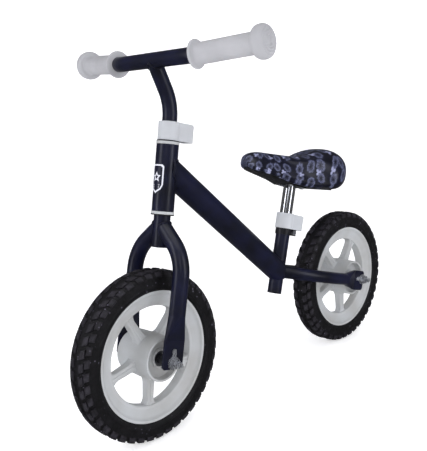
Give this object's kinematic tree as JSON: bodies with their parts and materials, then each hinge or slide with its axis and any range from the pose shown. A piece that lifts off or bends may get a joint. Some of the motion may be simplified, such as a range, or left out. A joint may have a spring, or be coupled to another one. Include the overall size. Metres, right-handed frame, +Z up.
{
  "type": "balance bike",
  "caption": "Child's balance bike with no pedals: steel tube frame, moulded spoked wheels with foam tyres, padded seat and bent handlebar.",
  "frame": {"origin": "on the ground, midway between the two axles and on the bicycle's middle plane", "axes": "+X forward, +Y to the rider's left, +Z up"},
  "size_m": [0.866, 0.455, 0.6686],
  "materials": {
    "frame_paint": "satin gloss",
    "white_plastic": "satin",
    "grip_rubber": "soft satin",
    "black_plastic": "satin",
    "black_steel": "satin",
    "zinc": "zinc plated",
    "chrome": "polished",
    "tyre_foam": "matte foam",
    "seat_vinyl": "printed satin",
    "badge_film": "gloss film"
  },
  "bodies": {
    "frame": {"head_tube": "frame_paint", "main_tube": "frame_paint", "seat_tube": "frame_paint", "left_chain_stay": "frame_paint", "right_chain_stay": "frame_paint", "upper_head_bush": "white_plastic", "lower_head_bush": "white_plastic", "head_badge": "badge_film", "seat_clamp_collar": "black_steel", "seat_clamp_bolts": "zinc", "seat_clamp_nuts": "zinc", "seat_clamp_cover": "white_plastic", "rear_axle": "zinc", "rear_axle_spacers": "black_steel", "rear_tab_washers": "zinc", "rear_axle_nuts": "zinc"},
    "fork": {"steerer_tube": "frame_paint", "left_fork_leg": "frame_paint", "right_fork_leg": "frame_paint", "crown_ring": "black_plastic", "steerer_washer": "black_plastic", "bar_clamp_collar": "black_steel", "bar_clamp_bolts": "zinc", "bar_clamp_nuts": "zinc", "bar_clamp_cover": "white_plastic", "front_axle": "zinc", "front_axle_spacers": "black_steel", "front_tab_washers": "zinc", "front_axle_nuts": "zinc"},
    "handlebar": {"stem_tube": "frame_paint", "handlebar_tube": "frame_paint", "left_grip": "grip_rubber", "right_grip": "grip_rubber"},
    "front_wheel": {"front_rim": "white_plastic", "front_tyre": "tyre_foam", "front_left_bearing": "zinc", "front_right_bearing": "zinc"},
    "rear_wheel": {"rear_rim": "white_plastic", "rear_tyre": "tyre_foam", "rear_left_bearing": "zinc", "rear_right_bearing": "zinc"},
    "seat": {"seat_post": "chrome", "seat_plate": "black_steel", "seat_screws": "zinc", "seat_pan": "black_plastic", "seat_cushion": "seat_vinyl"}
  },
  "joints": [
    {"name": "steering", "type": "hinge", "parent": "frame", "child": "fork", "pos_m": [0.27913, 0, 0.14675], "axis": [-0.2079, 0, 0.9781], "continuous": true},
    {"name": "handlebar_height", "type": "slide", "parent": "fork", "child": "handlebar", "axis": [-0.2079, 0, 0.9781], "range_m": [-0.004, 0.045]},
    {"name": "front_wheel_spin", "type": "hinge", "parent": "fork", "child": "front_wheel", "pos_m": [0.285, 0, 0.148], "axis": [0, 1, 0], "continuous": true},
    {"name": "rear_wheel_spin", "type": "hinge", "parent": "frame", "child": "rear_wheel", "pos_m": [-0.285, 0, 0.148], "axis": [0, 1, 0], "continuous": true},
    {"name": "seat_height", "type": "slide", "parent": "frame", "child": "seat", "axis": [-0.3007, 0, 0.9537], "range_m": [-0.045, 0.03]}
  ]
}
